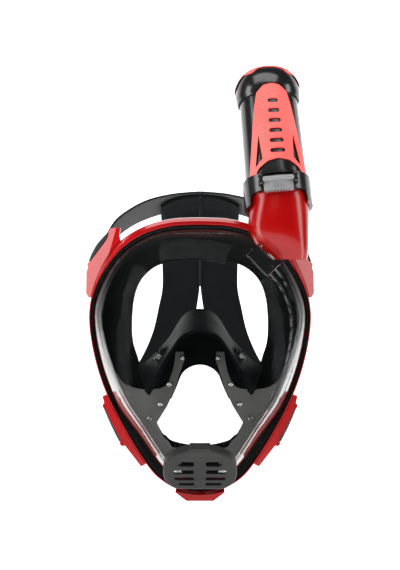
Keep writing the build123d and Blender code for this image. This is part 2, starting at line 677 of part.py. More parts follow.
def make_strap_bracket(outline, bar, side, cut=None):
    """Plate that carries on from the rim, with two posts and the strap's bar behind it."""
    plate = polygon_prism(outline)
    plate = (plate & behind_rim(-1.0)) - behind_rim(3.2)
    foot = polygon_prism(outline) & prism(inset(FRAME_HALF, -2.8))
    foot = (foot & behind_rim(3.1)) - behind_rim(13.0)
    bracket = plate + foot + between(bar[0], bar[1], BAR_R, 2.2)
    for x, y, z in bar:
        post = Pos(x, (rim_y(x) + 1 + y) / 2, z) * Rot(90, 0, 0)
        bracket += post * Cylinder(BAR_R + 0.6, abs(y - rim_y(x)))
    bracket = solid_only(bracket - prism(inset(FRAME_HALF, -0.05)))
    if cut:
        bracket = solid_only(bracket - cut)
    if side < 0:
        return mirror(bracket, about=Plane.YZ)
    return solid_only(bracket - elbow_space)


def make_web(bar, side, length, thickness=4.4):
    """Webbing doubled round a bar and sewn to the strap behind it."""
    low, high = Vector(*bar[0]), Vector(*bar[1])
    across = (high - low).normalized()
    middle = (low + high) / 2
    plane = Plane(origin=middle, x_dir=across, z_dir=Vector(0, 1, 0) - across * across.Y)
    width = (high - low).length - 2 * BAR_R - 1.2
    loop = Pos(0, 0, length / 2) * Box(width, thickness, length)
    nose = Rot(0, 90, 0) * Cylinder(BAR_R + 2.0, width)
    hole = Rot(0, 90, 0) * Cylinder(BAR_R + 0.05, width + 2)
    web = plane.location * solid_only(loop + nose - hole)
    return web if side > 0 else mirror(web, about=Plane.YZ)


# Strap runs on the right side: point, width direction, width.
ARM_RUN = [
    ((87.0, 4.6, 97.0), (-0.55, 0.0, 0.84), 33), ((86.5, 24.0, 102.0), (-0.5, -0.25, 0.83), 35),
    ((78.0, 55.0, 114.0), (-0.42, -0.55, 0.72), 37), ((56.0, 85.0, 131.0), (-0.3, -0.8, 0.52), 38),
    ((28.0, 104.0, 141.0), (-0.12, -0.92, 0.38), 38), ((0.5, 111.0, 144.5), (0.0, -0.94, 0.34), 38),
]
LEG_RUN = [
    ((18.4, 134.0, 62.0), (1.0, 0.0, 0.0), 36), ((22.0, 131.0, 40.0), (0.985, 0.0, 0.17), 36),
    ((29.0, 123.0, 12.0), (0.94, 0.1, 0.32), 36), ((42.0, 104.0, -16.0), (0.82, 0.22, 0.5), 36),
    ((59.0, 70.0, -38.0), (0.62, 0.3, 0.72), 36), ((72.0, 32.0, -50.0), (0.45, 0.2, 0.87), 35),
    ((77.0, 2.6, -55.0), (0.36, 0.0, 0.93), 32),
]
# Middle of the back panel from the crown down, as (y, z), and its half width.
BACK_RUN, BACK_HALF = [(129.2, 135.4), (134.0, 120.0), (136.5, 95.0), (134.2, 62.6)], 36.6


def make_band(run, side):
    """Flat strap through a run of sections."""
    points = [Vector(*p) for p, _, _ in run]
    sections = []
    for i, (p, across, width) in enumerate(run):
        ahead = points[min(i + 1, len(run) - 1)] - points[max(i - 1, 0)]
        across = Vector(*across).normalized()
        along = (ahead - across * ahead.dot(across)).normalized()
        plane = Plane(origin=p, x_dir=across, z_dir=along)
        sections.append(plane * Rectangle(width, WEB_THICK))
    band = solid_only(loft(sections))
    return band if side > 0 else mirror(band, about=Plane.YZ)


def make_back():
    """Double back panel with its centre seam."""
    outer = Spline(*[(0, y + WEB_THICK / 2, z) for y, z in BACK_RUN])
    inner = Spline(*[(0, y - WEB_THICK / 2, z) for y, z in reversed(BACK_RUN)])
    profile = Wire([outer, Line(outer @ 1, inner @ 0), inner, Line(inner @ 1, outer @ 0)])
    return solid_only(extrude(Face(profile), amount=BACK_HALF, dir=(1, 0, 0), both=True))


made["harness_back"] = make_back()
for side, word in ((-1, "left"), (1, "right")):
    upper_web = made[f"upper_web_{word}"] = make_web(UPPER_BAR, side, 17.0)
    lower_web = made[f"lower_web_{word}"] = make_web(LOWER_BAR, side, 17.0)
    upper_lug = make_strap_bracket(LUG_HALF, UPPER_BAR, side, facet_cut())
    made[f"upper_lug_{word}"] = solid_only(upper_lug - upper_web)
    made[f"lower_clip_{word}"] = solid_only(make_strap_bracket(CLIP_HALF, LOWER_BAR, side) - lower_web)
    made[f"harness_arm_{word}"] = make_band(ARM_RUN, side)
    made[f"harness_leg_{word}"] = make_band(LEG_RUN, side)

for name, shape in made.items():
    export_step(shape, f"parts/{name}.step")
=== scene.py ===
from math import cos, exp, pi, radians, sin, sqrt, tau

import bmesh
import bpy
import numpy as np
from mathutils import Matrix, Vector
from mathutils.bvhtree import BVHTree


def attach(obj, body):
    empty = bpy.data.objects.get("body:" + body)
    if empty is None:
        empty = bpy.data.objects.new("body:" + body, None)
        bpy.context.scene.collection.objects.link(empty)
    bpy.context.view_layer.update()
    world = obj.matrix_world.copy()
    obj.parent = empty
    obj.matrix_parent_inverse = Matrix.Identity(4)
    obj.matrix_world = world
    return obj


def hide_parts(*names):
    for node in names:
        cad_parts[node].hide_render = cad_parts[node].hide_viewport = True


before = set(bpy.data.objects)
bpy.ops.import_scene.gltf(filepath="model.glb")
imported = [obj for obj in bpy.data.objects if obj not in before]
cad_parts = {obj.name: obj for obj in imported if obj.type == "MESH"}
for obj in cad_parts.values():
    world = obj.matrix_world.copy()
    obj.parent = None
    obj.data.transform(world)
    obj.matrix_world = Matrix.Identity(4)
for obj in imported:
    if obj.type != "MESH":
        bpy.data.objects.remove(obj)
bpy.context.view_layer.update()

# ---- Studio --------------------------------------------------------------------------------------
# A white sweep behind and under the mask, one big softbox above and one at each side. The camera
# stands straight in front, level with the wearer's brow.
scene = bpy.context.scene
scene.view_settings.view_transform = "Standard"
MM = 0.001

camera = bpy.data.objects.new("camera", bpy.data.cameras.new("camera"))
camera.data.lens = 93.6
camera.location = (0, -1.3, 0.064)
camera.rotation_euler = (radians(90), 0, 0)
scene.collection.objects.link(camera)
scene.camera = camera


class Socket:
    """One output in a material's nodes. Python maths on it adds Math nodes."""

    def __init__(self, tree, out=None):
        self.tree, self.out = tree, out

    def node(self, kind, inputs=(), pick=0, stops=None, **settings):
        """Adds a node of that kind: its settings, then the values or links of its sockets."""
        made = self.tree.nodes.new(kind)
        for name, value in settings.items():
            setattr(made, name, value)
        if stops:
            ramp = made.color_ramp
            while len(ramp.elements) < len(stops):
                ramp.elements.new(0.5)
            for element, (place, colour) in zip(ramp.elements, stops):
                element.position, element.color = place, (*colour, 1)
        for key, value in dict(inputs).items():
            if isinstance(value, Socket):
                self.tree.links.new(value.out, made.inputs[key])
            else:
                made.inputs[key].default_value = value
        return Socket(self.tree, made.outputs[pick] if len(made.outputs) else None)

    def maths(self, operation, other, first=None):
        values = {0: self if first is None else first, 1: other}
        return self.node("ShaderNodeMath", values, operation=operation)

    def __add__(self, other):
        return self.maths("ADD", other)

    def __sub__(self, other):
        return self.maths("SUBTRACT", other)

    def __rsub__(self, other):
        return self.maths("SUBTRACT", self, other)

    def __mul__(self, other):
        return self.maths("MULTIPLY", other)

    __radd__, __rmul__ = __add__, __mul__

    def step(self, low, high):
        """0 under low, 1 over high, smooth between."""
        inputs = {0: self, 1: low, 2: high}
        return self.node("ShaderNodeMapRange", inputs, interpolation_type="SMOOTHSTEP")

    def blend(self, dark, light):
        """Colour between two, by this value."""
        inputs = {0: self, 6: dark if isinstance(dark, Socket) else (*dark, 1),
                  7: light if isinstance(light, Socket) else (*light, 1)}
        return self.node("ShaderNodeMix", inputs, pick=2, data_type="RGBA")

    def bump(self, strength, distance):
        return self.node("ShaderNodeBump", {"Strength": strength, "Distance": distance, "Height": self})


def noise(start, scale, detail=2.0, coordinates="Object"):
    """Soft random pattern over the object, scale cells to the metre."""
    place = start.node("ShaderNodeTexCoord", pick=["Generated", "Normal", "UV", "Object"].index(coordinates))
    return start.node("ShaderNodeTexNoise", {"Vector": place, "Scale": scale, "Detail": detail})


def blank_material(name):
    material = bpy.data.materials.new(name)
    material.use_nodes = True
    material.node_tree.nodes.clear()
    return material, Socket(material.node_tree)


def close_material(start, shader):
    start.node("ShaderNodeOutputMaterial", {"Surface": shader})


def principled(start, **inputs):
    names = {key.replace("_", " "): value for key, value in inputs.items()}
    return start.node("ShaderNodeBsdfPrincipled", names)


sweep_paper, start = blank_material("sweep_paper")
paper_tone = noise(start, 3.0).step(0.2, 0.8).blend((0.93, 0.93, 0.93), (0.95, 0.95, 0.95))
paper = principled(start, Base_Color=paper_tone, Roughness=0.9)
glow = start.node("ShaderNodeEmission", {"Color": (1, 1, 1, 1), "Strength": 0.95})
close_material(start, start.node("ShaderNodeAddShader", {0: paper, 1: glow}))

bm = bmesh.new()
bmesh.ops.create_grid(bm, x_segments=2, y_segments=24, size=1.0)
SWEEP_FLOOR, SWEEP_FRONT, SWEEP_FLAT, SWEEP_BEND, SWEEP_HALF_WIDTH = -0.34, -1.9, 2.6, 0.6, 2.4
for v in bm.verts:
    run = (v.co.y + 1) * SWEEP_FLAT
    turn = min(max(run - SWEEP_FLAT, 0) / SWEEP_BEND, pi / 2)
    rise = max(run - SWEEP_FLAT - SWEEP_BEND * pi / 2, 0)
    y = SWEEP_FRONT + min(run, SWEEP_FLAT) + SWEEP_BEND * sin(turn)
    v.co = Vector((v.co.x * SWEEP_HALF_WIDTH, y, SWEEP_FLOOR + SWEEP_BEND * (1 - cos(turn)) + rise))
sweep_mesh = bpy.data.meshes.new("sweep")
bm.to_mesh(sweep_mesh)
bm.free()
sweep_mesh.materials.append(sweep_paper)
sweep_mesh.polygons.foreach_set("use_smooth", [True] * len(sweep_mesh.polygons))
sweep = bpy.data.objects.new("sweep", sweep_mesh)
scene.collection.objects.link(sweep)

SOFTBOXES = [
    # name, place, aim, width, height, watts
    ("overhead", (-0.1, -0.5, 1.1), (0, 0, 0.05), 1.4, 0.6, 10),
    ("left_side", (-1.15, -0.32, 0.2), (0, 0, 0.05), 0.4, 1.2, 9),
    ("right_side", (1.15, -0.25, 0.2), (0, 0, 0.05), 0.35, 1.2, 7),
    ("front_fill", (-0.45, -1.7, 0.85), (0, 0, 0.05), 1.0, 0.8, 16),
]
for name, place, aim, width, height, watts in SOFTBOXES:
    light = bpy.data.lights.new(name, "AREA")
    light.shape, light.size, light.size_y, light.energy = "RECTANGLE", width, height, watts
    box = bpy.data.objects.new(name, light)
    box.location = place
    box.rotation_euler = (Vector(aim) - Vector(place)).to_track_quat("-Z", "Y").to_euler()
    box.visible_glossy = name != "front_fill"
    scene.collection.objects.link(box)

world = bpy.data.worlds.new("studio")
world.use_nodes = True
world.node_tree.nodes["Background"].inputs["Color"].default_value = (0.9, 0.93, 1.0, 1)
world.node_tree.nodes["Background"].inputs["Strength"].default_value = 0.07
scene.world = world

# ---- Red rim -------------------------------------------------------------------------------------
# The front frame is one glossy red moulding, broad over the brow and a thin band down the sides. It
# snaps over the black rear frame and clamps the silicone bead round the visor.
RIM_Y, RIM_RADIUS = -40.0, 231.0
FRAME_HALF = [
    (0, 121.5), (27, 120), (50.5, 113.2), (69.8, 100.5), (83.6, 82), (92.2, 62), (96.3, 40),
    (94.6, 17), (88.5, -9), (79.4, -33), (66.7, -57), (51.4, -81.6), (37, -99.5), (20, -110), (0, -113),
]
ROUND = 192                 # steps round the rim


def smooth(t):
    t = min(max(t, 0.0), 1.0)
    return t * t * (3 - 2 * t)


def rim_y(x):
    """Depth of the rim's front at that distance from the middle, in millimetres."""
    return RIM_Y + RIM_RADIUS - sqrt(RIM_RADIUS**2 - min(abs(x), 200) ** 2)


def curve_through(points, steps):
    """Points along a smooth open curve through the given ones."""
    padded = [points[0], *points, points[-1]]
    placed = np.array(padded, float)
    placed[0], placed[-1] = 2 * placed[1] - placed[2], 2 * placed[-2] - placed[-3]
    found = []
    for i in range(steps + 1):
        where = i / steps * (len(points) - 1)
        k = min(int(where), len(points) - 2)
        t = where - k
        a, b, c, d = placed[k:k + 4]
        square, cube = 2 * a - 5 * b + 4 * c - d, 3 * b - a - 3 * c + d
        found.append(0.5 * (2 * b + (c - a) * t + square * t**2 + cube * t**3))
    return np.array(found)


def outline(half, steps=ROUND, middle=5.0):
    """Closed outline from its right half, one point for each equal turn about the middle."""
    left = [(-x, z) for x, z in reversed(half[1:])]
    around = [*left[1:], *half, *left, half[0]]
    fine = curve_through(around, 1600)
    fine = np.vstack([fine, fine * [-1, 1]])
    turn = np.arctan2(fine[:, 0], fine[:, 1] - middle)
    reach = np.hypot(fine[:, 0], fine[:, 1] - middle)
    order = np.argsort(turn)
    wanted = np.linspace(-pi, pi, steps, endpoint=False)
    far = np.interp(wanted, turn[order], reach[order], period=tau)
    mirrored = far[(-np.arange(steps)) % steps]
    far = (far + mirrored) / 2
    return np.stack([far * np.sin(wanted), middle + far * np.cos(wanted)], axis=1)


def inset(ring, amount):
    """The outline moved inwards by an amount that may depend on height."""
    along = np.roll(ring, -1, axis=0) - np.roll(ring, 1, axis=0)
    along /= np.linalg.norm(along, axis=1)[:, None]
    inward = np.stack([along[:, 1], -along[:, 0]], axis=1)
    size = np.array([amount(z) if callable(amount) else amount for _, z in ring])
    return ring + inward * size[:, None]


def ring_skin(rings, closed=True):
    """Grid bent round the object through rings of points given in millimetres."""
    steps, count = len(rings[0]), len(rings)
    rows = count if closed else count - 1
    bm = bmesh.new()
    bmesh.ops.create_grid(bm, x_segments=steps, y_segments=rows, size=0.5)
    for v in bm.verts:
        row, step = round((v.co.y + 0.5) * rows) % count, round((v.co.x + 0.5) * steps) % steps
        v.co = Vector(rings[row][step]) * MM
    return bm


def add_strip(name, bm, material, replaces=(), slot=None, sharp=None, body="mask"):
    """Makes the shaped mesh a piece that moves with a body and may stand for CAD nodes."""
    mesh = bpy.data.meshes.new(name)
    bm.to_mesh(mesh)
    bm.free()
    mesh.polygons.foreach_set("use_smooth", [True] * len(mesh.polygons))
    if sharp:
        mesh.set_sharp_from_angle(angle=radians(sharp))
    mesh.materials.append(material)
    piece = bpy.data.objects.new(name, mesh)
    scene.collection.objects.link(piece)
    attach(piece, body)
    if replaces:
        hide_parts(*replaces)
    return piece


def add_piece(name, bm, *rest, **options):
    """Merges the mesh's seam, turns its faces outwards and adds it."""
    bmesh.ops.remove_doubles(bm, verts=bm.verts, dist=1e-6)
    bmesh.ops.recalc_face_normals(bm, faces=bm.faces)
    return add_strip(name, bm, *rest, **options)


def thicken(piece, millimetres, offset=-1.0):
    wall = piece.modifiers.new("wall", "SOLIDIFY")
    wall.thickness, wall.offset = millimetres * MM, offset
    return wall


def round_edges(piece, millimetres, segments=2, angle=32):
    bevel = piece.modifiers.new("edges", "BEVEL")
    bevel.width, bevel.segments, bevel.limit_method = millimetres * MM, segments, "ANGLE"
    bevel.angle_limit, bevel.harden_normals = radians(angle), True
    return bevel


def red_width(z):
    return 1.5 + 5.0 * smooth((z - 45) / 70)


def bead_width(z):
    return 2.0 + 2.6 * smooth((-38 - z) / 40)


def rim_ring(ring, depth):
    """A ring of points that depth behind the rim's front."""
    return [(x, rim_y(x) + depth, z) for x, z in ring]


def gloss_plastic(name, dark, light, roughness=0.22, coat=0.35, shine=0.5, grain=900.0):
    """Injection-moulded plastic: faint flow marks in the colour and a fine skin texture."""
    material, start = blank_material(name)
    flow = noise(start, 22.0, 3.0).step(0.3, 0.7)
    skin = noise(start, grain, 3.0)
    scuff = noise(start, 140.0, 6.0).step(0.62, 0.78)
    shader = principled(
        start, Base_Color=flow.blend(dark, light), Roughness=scuff * 0.1 + roughness,
        Coat_Weight=coat, Coat_Roughness=0.06, Specular_IOR_Level=shine, Normal=skin.bump(0.12, 0.00008),
    )
    close_material(start, shader)
    return material


red_plastic = gloss_plastic("red_plastic", (0.30, 0.002, 0.003), (0.36, 0.003, 0.004), 0.16, 0.5)
rim_outline = outline(FRAME_HALF)
RIM_PROFILE = [(0, 15.5), (0, 1.4), (0.08, -0.3), (0.5, -2.0), (0.9, -1.9), (1.0, -1.2), (1.0, 9.4)]
rings = [rim_ring(inset(rim_outline, lambda z: part * red_width(z)), depth) for part, depth in RIM_PROFILE]
rings.append(rim_ring(inset(rim_outline, 1.2), 9.6))
rings.append(rim_ring(inset(rim_outline, 1.2), 15.5))
front_frame = add_piece("red_rim", ring_skin(rings), red_plastic, ["front_frame"], "red_plastic", sharp=35)
round_edges(front_frame, 0.35)

# ---- Clear visor ---------------------------------------------------------------------------------
# One thick polycarbonate moulding: a domed front that turns into steep clear walls, which stand in
# the silicone bead. Two thin ribs inside the snorkel's side guide the air down to the chin.
LENS_AXIS_Y, LENS_APEX_Y, LENS_WALL = 23.0, -303.0, 2.4
LENS_PROFILE = [
    (-125, -50), (-112, -60), (-80, -77), (-30, -86), (30, -83), (80, -70), (112, -52), (130, -38),
]
dome_line = curve_through(LENS_PROFILE, 400)


def dome_y(x, z, under=0.0):
    """Depth of the visor's domed front, or of a surface under it."""
    reach = LENS_AXIS_Y - float(np.interp(z, dome_line[:, 0], dome_line[:, 1])) - under
    return LENS_AXIS_Y - sqrt(max(reach**2 - x * x, 1.0))


def visor_point(x, z, k, under=0.0):
    """Point of the visor on the line from the foot (x, z) to the middle; k is 1 at the foot."""
    wall = LENS_APEX_Y + k * (rim_y(x) - LENS_APEX_Y)
    dome = dome_y(k * x, k * z, under)
    mix = 5.0                       # radius of the turn from wall to dome
    y = max(wall, dome) + mix * 0.35 * exp(-abs(wall - dome) / mix)
    return (k * x, min(y, rim_y(x)) if k > 0.995 else y, k * z)


def clear_plastic_material(name, tint, gain, roughness=0.03, least=0.001):
    """Clear polycarbonate: see-through face on, and brighter where it turns away."""
    material, start = blank_material(name)
    haze = noise(start, 60.0, 4.0).step(0.35, 0.8)
    turned_away = start.node("ShaderNodeLayerWeight", {"Blend": 0.5}, pick=1)
    wave = noise(start, 35.0, 1.0).bump(0.05, 0.0004)
    clear = start.node("ShaderNodeBsdfTransparent", {"Color": (*tint, 1)})
    shine = principled(start, Base_Color=(0.9, 0.92, 0.92, 1), Metallic=1.0, Roughness=roughness, Normal=wave)
    share = turned_away.step(0.46, 0.95) * gain + haze * 0.002 + least
    close_material(start, start.node("ShaderNodeMixShader", {0: share, 1: clear, 2: shine}))
    return material


clear_plastic = clear_plastic_material("clear_plastic", (0.965, 0.968, 0.965), 0.62)
lens_foot = inset(rim_outline, lambda z: red_width(z) + bead_width(z))
steps_in = list(1 - 0.30 * (np.arange(31) / 30) ** 1.3) + list(np.linspace(0.66, 0.0, 24))
rings = [[(x, rim_y(x) + 7.0, z) for x, z in lens_foot]]
rings += [[visor_point(x, z, k) for x, z in lens_foot] for k in steps_in]
visor = add_piece("visor", ring_skin(rings, closed=False), clear_plastic, ["lens"], "clear_plastic")
thicken(visor, LENS_WALL)

rib_plastic = clear_plastic_material("rib_plastic", (0.72, 0.72, 0.71), 0.12, 0.15, 0.02)
CHANNEL_RIBS = [0.90, 0.845]        # where each rib stands between the middle and the foot
for number, inner in enumerate(CHANNEL_RIBS, 1):
    bm = bmesh.new()
    bmesh.ops.create_grid(bm, x_segments=60, y_segments=4, size=0.5)
    for v in bm.verts:
        along, across = v.co.x + 0.5, v.co.y + 0.5
        place = int((0.5 + (40 + 88 * along) / 360) * ROUND) % ROUND
        taper = sin(pi * min(max(along, 0.02), 0.98)) ** 0.5
        x, z = lens_foot[place]
        point = visor_point(x, z, inner + 0.02 * along, LENS_WALL + 0.3)
        v.co = Vector((point[0] - across * 2.2, point[1] + across * 13 * taper, point[2])) * MM
    rib = add_piece(f"air_channel_rib_{number}", bm, rib_plastic, slot="clear_plastic")
    thicken(rib, 1.1, 0.0)

# ---- Silicone bead and face skirt ----------------------------------------------------------------
# Black liquid silicone, moulded in one: the bead that grips the visor's foot between it and the red
# rim, the deep side walls, and the wide soft flange that seals on the face.
SEAL_RADIUS = 150.0
FACE_HALF = [
    (0, 86.7), (22, 85.5), (38, 81.5), (51, 71), (58, 56), (60.6, 36), (60, 15), (55, -2),
    (49, -25), (38.5, -57), (27, -72), (0, -78),
]


def seal_y(x):
    return SEAL_RADIUS - sqrt(SEAL_RADIUS**2 - min(abs(x), 140) ** 2)


def silicone_material(name, tone, roughness, grain, shine=0.25):
    """Black silicone: a soft low gloss, a little dust-grey in patches and a fine moulded grain."""
    material, start = blank_material(name)
    bloom = noise(start, 30.0, 5.0).step(0.35, 0.75)
    pores = noise(start, grain, 2.0)
    dark = tuple(0.75 * c for c in tone)
    shader = principled(
        start, Base_Color=bloom.blend(dark, tone), Roughness=bloom * 0.08 + roughness,
        Specular_IOR_Level=shine, Normal=pores.bump(0.1, 0.0001),
    )
    close_material(start, shader)
    return material


silicone = silicone_material("silicone", (0.0045, 0.006, 0.006), 0.5, 1400.0, 0.07)
BEAD_PROFILE = [(0.0, 9.0), (0.0, 0.8), (0.2, -0.5), (0.6, -0.7), (1.05, 0.5), (1.05, 9.0)]
rings = [
    rim_ring(inset(rim_outline, lambda z: red_width(z) + part * bead_width(z)), depth)
    for part, depth in BEAD_PROFILE
]
bead = add_piece("visor_bead", ring_skin(rings), silicone, ["skirt"], "silicone", sharp=50)

wall_top = inset(lens_foot, 1.2)
face_edge = outline(FACE_HALF)
rings = []
for i in range(29):
    turn = i / 28 * pi / 2
    inward, back = 1 - cos(turn) ** 1.2, sin(turn) ** 0.9
    ring = []
    for (xw, zw), (xf, zf) in zip(wall_top, face_edge):
        x, z = xw + (xf - xw) * inward, zw + (zf - zw) * inward
        front = rim_y(xw) + 8.4
        ring.append((x, front + (seal_y(x) - 3.4 - front) * back, z))
    rings.append(ring)
for out, back in ((-0.9, 0.7), (-0.7, 1.9), (0.6, 2.6), (2.4, 2.9)):
    rings.append([(x, seal_y(x) - 3.4 + back, z) for x, z in inset(face_edge, -out)])
face_skirt = add_piece("face_skirt", ring_skin(rings, closed=False), silicone, slot="silicone")
thicken(face_skirt, 1.5, 1.0)
flange_ring = [[(x, seal_y(x) - 0.9, z) for x, z in inset(face_edge, -out)] for out in (2.2, 8, 14, 19)]
flange = add_piece("face_flange", ring_skin(flange_ring, closed=False), silicone, slot="silicone")
thicken(flange, 1.4, 0.0)

# ---- Rear frame and chin tip ---------------------------------------------------------------------
# Behind the rim a black nylon ring closes on the silicone bead, held by snaps. The red tip under the
# chin covers the joint between the two and takes the knocks when the mask is put down.
def finish_nodes(material, *names):
    """Gives the small hard pieces that keep their machined shape their material."""
    for name in names:
        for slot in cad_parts[name].material_slots:
            slot.material = material


black_plastic = gloss_plastic("black_plastic", (0.005, 0.005, 0.0055), (0.009, 0.009, 0.0095), 0.2, 0.12)
elbow_plastic = gloss_plastic("elbow_plastic", (0.26, 0.001, 0.001), (0.32, 0.002, 0.002), 0.2, 0.12, 0.3)
finish_nodes(black_plastic, "rear_frame")
finish_nodes(elbow_plastic, "chin_guard")

# ---- Nose pocket and pegs ------------------------------------------------------------------------
# A thin black silicone pocket over the nose and mouth parts the eye space from the breath. Clear
# pegs moulded on the visor pin its lower edge to the mouth plate.
pocket_silicone = silicone_material("pocket_silicone", (0.0035, 0.0045, 0.005), 0.5, 900.0, 0.02)
peg_plastic = clear_plastic_material("peg_plastic", (0.7, 0.71, 0.71), 0.5, 0.12, 0.35)
finish_nodes(pocket_silicone, "nose_pocket")
finish_nodes(peg_plastic, "pocket_pegs")

# ---- Mouth plate ---------------------------------------------------------------------------------
# A smoke-grey polycarbonate plate lies under the visor's lower half. Its bell-shaped window is for
# the mouth, and its two arms carry the pocket.
smoke_plate = gloss_plastic("smoke_plate", (0.072, 0.071, 0.067), (0.085, 0.083, 0.079), 0.42, 0.05, 0.3)
finish_nodes(smoke_plate, "mouth_plate")

# ---- Inhale valves -------------------------------------------------------------------------------
# Each cheek of the pocket holds a clear spoked seat with a thin silicone disc on its inner face,
# which lets fresh air in from the eye space and keeps the used air out of it.
seat_plastic = clear_plastic_material("seat_plastic", (0.6, 0.6, 0.6), 0.5, 0.1, 0.08)
finish_nodes(seat_plastic, "inhale_seat_left", "inhale_seat_right")
finish_nodes(silicone, "inhale_flap_left", "inhale_flap_right")

# ---- Chin valve ----------------------------------------------------------------------------------
# Water drains through a silicone disc on a black seat at the chin, behind a slotted cover that is
# moulded in dark smoke-grey plastic and snaps on.
smoke_cover = gloss_plastic("smoke_cover", (0.019, 0.019, 0.0185), (0.027, 0.027, 0.026), 0.34, 0.04, 0.15)
finish_nodes(black_plastic, "purge_seat")
finish_nodes(silicone, "purge_membrane")
finish_nodes(smoke_cover, "purge_cover")

# ---- Air duct and elbow --------------------------------------------------------------------------
# A short clear box leads the air from the visor into the red elbow, which turns it up to the tube. A
# black spigot with a rubber ring in its groove stands in the elbow's mouth.
duct_plastic = clear_plastic_material("duct_plastic", (0.86, 0.84, 0.82), 0.6, 0.08, 0.07)
finish_nodes(duct_plastic, "air_duct")
finish_nodes(elbow_plastic, "elbow")
finish_nodes(black_plastic, "spigot")
finish_nodes(silicone, "duct_gasket", "o_ring")

# ---- Collar and latch ----------------------------------------------------------------------------
# The tube's foot is a black collar that slides over the spigot. A grey latch swings on two steel
# pins between the collar's ears and hooks under the elbow's lip.
latch_plastic = gloss_plastic("latch_plastic", (0.2, 0.202, 0.205), (0.25, 0.252, 0.255), 0.18, 0.6)
steel, start = blank_material("steel")
brushed = noise(start, 900.0, 2.0)
close_material(start, principled(
    start, Base_Color=brushed.step(0.3, 0.7).blend((0.5, 0.5, 0.52), (0.62, 0.62, 0.64)),
    Metallic=1.0, Roughness=brushed * 0.15 + 0.2,
))
finish_nodes(black_plastic, "collar")
finish_nodes(latch_plastic, "latch_lever")
finish_nodes(steel, "latch_pins")

# ---- Tube and inlay ------------------------------------------------------------------------------
# The tube is a black moulding with a wall inside that keeps fresh and used air apart. A matt coral
# panel with slots and two windows is snapped into its front.
coral_plastic = gloss_plastic("coral_plastic", (0.93, 0.10, 0.085), (0.97, 0.14, 0.12), 0.5, 0.0)
finish_nodes(black_plastic, "snorkel_tube", "tube_divider")
finish_nodes(coral_plastic, "tube_inlay")

# ---- Dry top -------------------------------------------------------------------------------------
# The cap holds a cage in which a foamed float rises and shuts the port against a silicone ring. A red
# hood covers the cap's crown.
foam, start = blank_material("float_foam")
place = start.node("ShaderNodeTexCoord", pick=3)
cells = start.node("ShaderNodeTexVoronoi", {"Vector": place, "Scale": 1200.0})
close_material(start, principled(
    start, Base_Color=cells.step(0.0, 0.6).blend((0.62, 0.62, 0.6), (0.8, 0.8, 0.78)),
    Roughness=0.8, Normal=cells.bump(0.3, 0.0002),
))
finish_nodes(black_plastic, "cap", "float_guide")
finish_nodes(red_plastic, "cap_trim")
finish_nodes(silicone, "float_gasket")
finish_nodes(foam, "float")

# ---- Cap crescent --------------------------------------------------------------------------------
# A thin red crescent is snapped into the front of the cap along its top edge, over the port through
# which the air comes in. It is moulded in the inlay's plastic and follows the cap's dome.
CROWN_X = 60.0
CRESCENT_OUTER = [(21.8, 244.8), (16.5, 249.2), (9, 252.2), (0, 253.3)]     # reach from the crown, height
CRESCENT_INNER = [(21.6, 244.4), (14.8, 246.2), (9.8, 250.2), (0, 251.6)]
CRESCENT_STEPS = 60
cap_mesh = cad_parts["cap"].data
cap_faces = [tuple(p.vertices) for p in cap_mesh.polygons]
cap_dome = BVHTree.FromPolygons([v.co for v in cap_mesh.vertices], cap_faces)


def crescent_edge(half):
    """One long edge of the crescent, from its left tip over the crown to its right tip."""
    left = [(CROWN_X - reach, z) for reach, z in half]
    right = [(CROWN_X + reach, z) for reach, z in reversed(half[:-1])]
    return curve_through(left + right, CRESCENT_STEPS)


def facing(bm, outward):
    """Turns an open strip so that its outer face looks that way."""
    bmesh.ops.recalc_face_normals(bm, faces=bm.faces)
    if sum(face.normal.dot(Vector(outward)) for face in bm.faces) < 0:
        bmesh.ops.reverse_faces(bm, faces=bm.faces)
    return bm


outer, inner = crescent_edge(CRESCENT_OUTER), crescent_edge(CRESCENT_INNER)
bm = bmesh.new()
bmesh.ops.create_grid(bm, x_segments=CRESCENT_STEPS, y_segments=6, size=0.5)
for v in bm.verts:
    step, across = round((v.co.x + 0.5) * CRESCENT_STEPS), v.co.y + 0.5
    x, z = (outer[step] + (inner[step] - outer[step]) * across) * MM
    spot, normal, _, _ = cap_dome.ray_cast(Vector((x, -0.2, z)), Vector((0, 1, 0)))
    if spot is None:
        spot, normal, _, _ = cap_dome.find_nearest(Vector((x, -0.01, z)))
    v.co = spot + normal * 0.4 * MM
crescent = add_strip("cap_crescent", facing(bm, (0, -1, 0.3)), coral_plastic, slot="red_plastic",
                     body="snorkel")
thicken(crescent, 0.9, 0.0)

# ---- Lugs and clips ------------------------------------------------------------------------------
# Two red lugs at the temples and two clips at the cheeks, moulded like the rim and snapped on to it,
# each with a bar across its end that the webbing runs round.
lug_plastic = gloss_plastic("lug_plastic", (0.30, 0.002, 0.003), (0.36, 0.003, 0.004), 0.2, 0.22, 0.35)
finish_nodes(lug_plastic, "upper_lug_left", "upper_lug_right")
finish_nodes(red_plastic, "lower_clip_left", "lower_clip_right")

# ---- Strap webbing ------------------------------------------------------------------------------
# Short black nylon webbing, ribbed along its length, loops round each bracket's bar and is sewn to
# the harness behind it.
UPPER_BAR = ((95.2, -12.0, 81.5), (76.2, -17.5, 109.2))
LOWER_BAR = ((66.2, -20.0, -71.6), (81.4, -15.0, -40.0))
RIBS = 22


def webbing_material():
    material, start = blank_material("ribbed_webbing")
    threads = noise(start, 1500.0, 3.0)
    ribs = start.node("ShaderNodeTexWave", {
        "Vector": start.node("ShaderNodeTexCoord", pick=2), "Scale": 0.314 * RIBS, "Detail": 0.0,
    })
    tone = ribs.step(0.45, 0.8) * 0.8 + threads * 0.3
    shader = principled(
        start, Base_Color=tone.blend((0.004, 0.004, 0.004), (0.11, 0.11, 0.11)),
        Roughness=0.6, Specular_IOR_Level=0.3, Normal=threads.bump(0.4, 0.0002),
    )
    close_material(start, shader)
    return material


